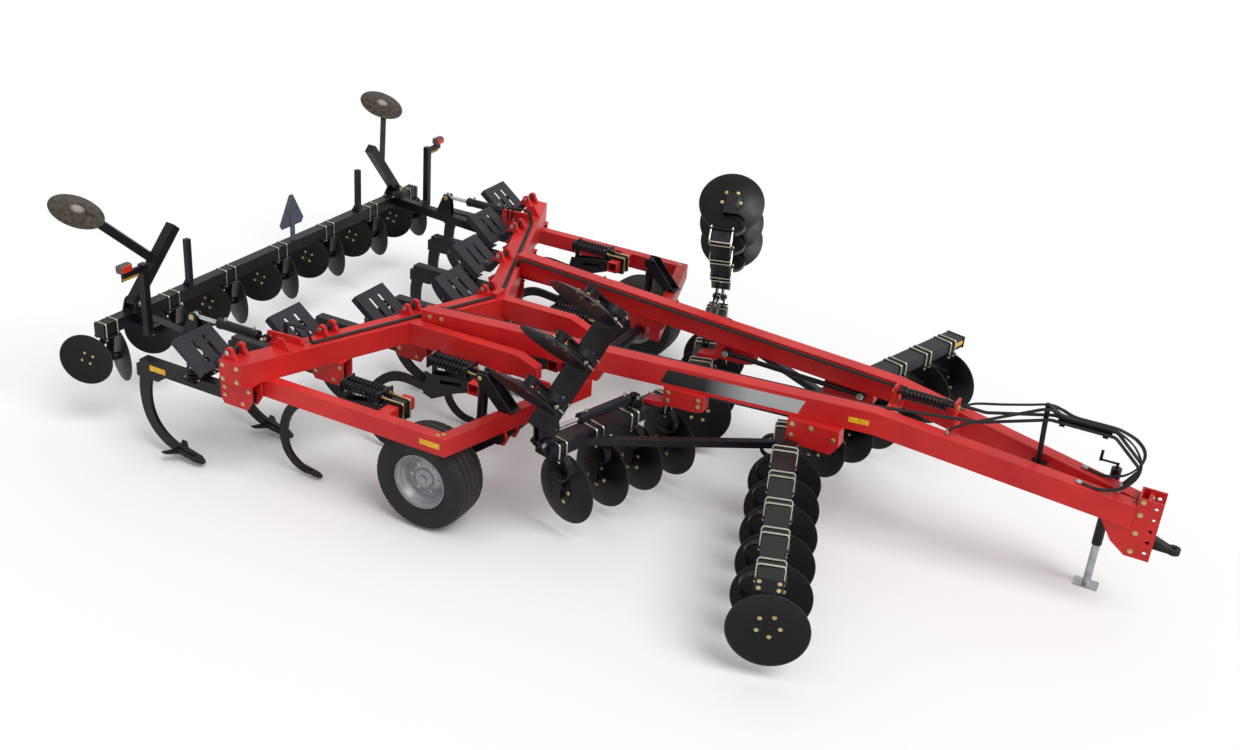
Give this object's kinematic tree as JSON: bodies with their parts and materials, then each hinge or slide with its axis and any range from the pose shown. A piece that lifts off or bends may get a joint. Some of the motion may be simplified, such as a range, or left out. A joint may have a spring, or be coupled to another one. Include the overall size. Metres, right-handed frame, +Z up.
{
  "type": "towed disc ripper",
  "caption": "Towed disc ripper: V toolbar with parabolic shanks, angled disc gangs with folding wings, rear disc leveler, lift wheels and a tongue with jack.",
  "frame": {"origin": "on the ground, midway between the machine's front and rear ends on its centre plane", "axes": "+X forward to the hitch, +Y to the machine's left, +Z up"},
  "size_m": [9.06, 4.972, 2.2254],
  "materials": {
    "red_paint": "gloss",
    "black_paint": "satin",
    "disc_steel": "satin",
    "tyre": "matte",
    "zinc": "satin",
    "chrome": "polished",
    "lamp_amber": "gloss",
    "rubber_hose": "matte",
    "grey_sheet": "satin"
  },
  "bodies": {
    "frame": {"chisel_arms": "black_paint", "chisel_shanks": "black_paint", "chisel_springs": "black_paint", "cross_tubes": "red_paint", "fold_barrels": "black_paint", "front_gangs": "black_paint", "gang_hangers": "red_paint", "hitch_eye": "black_paint", "hitch_head": "red_paint", "hose_mast": "black_paint", "inner_rails": "red_paint", "jack_sleeve": "black_paint", "leveler_brackets": "red_paint", "lift_anchors": "black_paint", "main_beams": "red_paint", "rear_gangs": "black_paint", "rear_toolbar": "red_paint", "ripper_shanks": "black_paint", "shank_arms": "black_paint", "shank_covers": "black_paint", "shank_springs": "black_paint", "side_rails": "red_paint", "stabilizer_links": "black_paint", "tongue_hoses": "rubber_hose", "tongue_spring": "black_paint", "toolbar_hoses": "rubber_hose"},
    "wheel_left": {"wheel_left": "tyre"},
    "front_discs_left": {"front_discs_left": "disc_steel"},
    "rear_discs_left": {"rear_discs_left": "disc_steel"},
    "wing_left": {"wing_left": "black_paint"},
    "wing_discs_left": {"wing_discs_left": "disc_steel"},
    "fold_rod_left": {"fold_rod_left": "chrome"},
    "leveler_wing_left": {"leveler_wing_left": "black_paint"},
    "wheel_right": {"wheel_right": "tyre"},
    "front_discs_right": {"front_discs_right": "disc_steel"},
    "rear_discs_right": {"rear_discs_right": "disc_steel"},
    "wing_right": {"wing_right": "black_paint"},
    "wing_discs_right": {"wing_discs_right": "disc_steel"},
    "fold_rod_right": {"fold_rod_right": "chrome"},
    "leveler_wing_right": {"leveler_wing_right": "black_paint"},
    "lift_shaft": {"lift_shaft": "black_paint"},
    "lift_barrels": {"lift_barrels": "black_paint"},
    "lift_rods": {"lift_rods": "chrome"},
    "leveler": {"leveler_bar": "black_paint", "leveler_arms": "black_paint", "leveler_hangers": "black_paint", "leveler_discs": "disc_steel", "rear_lamps": "lamp_amber", "emblem": "grey_sheet"},
    "leveler_barrels": {"leveler_barrels": "black_paint"},
    "leveler_rods": {"leveler_rods": "chrome"},
    "jack_leg": {"jack_leg": "zinc"}
  },
  "joints": [
    {"name": "wheel_spin_left", "type": "hinge", "parent": "lift_shaft", "child": "wheel_left", "pos_m": [-0.94, 1.888, 0.42], "axis": [0, 1, 0], "continuous": true},
    {"name": "front_disc_spin_left", "type": "hinge", "parent": "frame", "child": "front_discs_left", "pos_m": [2.16331, 2.39124, 0.425], "axis": [0.3074, 0.9516, 0], "continuous": true},
    {"name": "rear_disc_spin_left", "type": "hinge", "parent": "frame", "child": "rear_discs_left", "pos_m": [0.00151, 1.70012, 0.425], "axis": [-0.289, 0.9573, 0], "continuous": true},
    {"name": "wing_fold_left", "type": "hinge", "parent": "frame", "child": "wing_left", "pos_m": [-0.04934, 1.74744, 0.935], "axis": [-0.9573, -0.289, 0], "range_deg": [0, 135]},
    {"name": "wing_disc_spin_left", "type": "hinge", "parent": "wing_left", "child": "wing_discs_left", "pos_m": [-0.13233, 2.1434, 1.2532], "axis": [0.2044, -0.6769, 0.7071], "continuous": true},
    {"name": "fold_rod_slide_left", "type": "slide", "parent": "frame", "child": "fold_rod_left", "axis": [-0.289, 0.9573, 0.0073], "range_m": [0, 0.34]},
    {"name": "wheel_spin_right", "type": "hinge", "parent": "lift_shaft", "child": "wheel_right", "pos_m": [-0.94, -1.888, 0.42], "axis": [0, 1, 0], "continuous": true},
    {"name": "front_disc_spin_right", "type": "hinge", "parent": "frame", "child": "front_discs_right", "pos_m": [2.16331, -2.39124, 0.425], "axis": [0.3074, -0.9516, 0], "continuous": true},
    {"name": "rear_disc_spin_right", "type": "hinge", "parent": "frame", "child": "rear_discs_right", "pos_m": [0.00151, -1.70012, 0.425], "axis": [-0.289, -0.9573, 0], "continuous": true},
    {"name": "wing_fold_right", "type": "hinge", "parent": "frame", "child": "wing_right", "pos_m": [-0.04934, -1.74744, 0.935], "axis": [0.9573, -0.289, 0], "range_deg": [0, 135]},
    {"name": "wing_disc_spin_right", "type": "hinge", "parent": "wing_right", "child": "wing_discs_right", "pos_m": [-0.13233, -2.1434, 1.2532], "axis": [0.2044, 0.6769, 0.7071], "continuous": true},
    {"name": "fold_rod_slide_right", "type": "slide", "parent": "frame", "child": "fold_rod_right", "axis": [-0.289, -0.9573, 0.0073], "range_m": [0, 0.34]},
    {"name": "lift_swing", "type": "hinge", "parent": "frame", "child": "lift_shaft", "pos_m": [-0.49, 0, 0.768], "axis": [0, 1, 0], "range_deg": [-50, 3]},
    {"name": "lift_barrel_swing", "type": "hinge", "parent": "frame", "child": "lift_barrels", "pos_m": [-0.7, 0, 1.22], "axis": [0, 1, 0], "range_deg": [-30, 30]},
    {"name": "lift_rod_slide", "type": "slide", "parent": "lift_barrels", "child": "lift_rods", "axis": [-0.0345, 0, -0.9994], "range_m": [-0.03, 0.2]},
    {"name": "leveler_swing", "type": "hinge", "parent": "frame", "child": "leveler", "pos_m": [-2.48, 0, 0.89], "axis": [0, 1, 0], "range_deg": [-14, 6]},
    {"name": "leveler_barrel_swing", "type": "hinge", "parent": "frame", "child": "leveler_barrels", "pos_m": [-2.545, 0, 1.176], "axis": [0, 1, 0], "range_deg": [-20, 20]},
    {"name": "leveler_rod_slide", "type": "slide", "parent": "leveler_barrels", "child": "leveler_rods", "axis": [-1, 0, -0.0053], "range_m": [-0.12, 0.12]},
    {"name": "leveler_wing_fold_left", "type": "hinge", "parent": "leveler", "child": "leveler_wing_left", "pos_m": [-3.99, 1.905, 1.12], "axis": [-1, 0, 0], "range_deg": [0, 95]},
    {"name": "leveler_wing_fold_right", "type": "hinge", "parent": "leveler", "child": "leveler_wing_right", "pos_m": [-3.99, -1.905, 1.12], "axis": [1, 0, 0], "range_deg": [0, 95]},
    {"name": "jack_leg_slide", "type": "slide", "parent": "frame", "child": "jack_leg", "axis": [0, 0, 1], "range_m": [0, 0.25]}
  ],
  "couplings": [
    {"joint": "fold_rod_slide_left", "follows": "wing_fold_left", "m_per_rad": 0.13332},
    {"joint": "fold_rod_slide_right", "follows": "wing_fold_right", "m_per_rad": 0.13332},
    {"joint": "lift_barrel_swing", "follows": "lift_swing", "ratio": 0.29365},
    {"joint": "lift_rod_slide", "follows": "lift_swing", "m_per_rad": -0.16955},
    {"joint": "leveler_barrel_swing", "follows": "leveler_swing", "ratio": 1.0562},
    {"joint": "leveler_rod_slide", "follows": "leveler_swing", "m_per_rad": -0.28855}
  ]
}
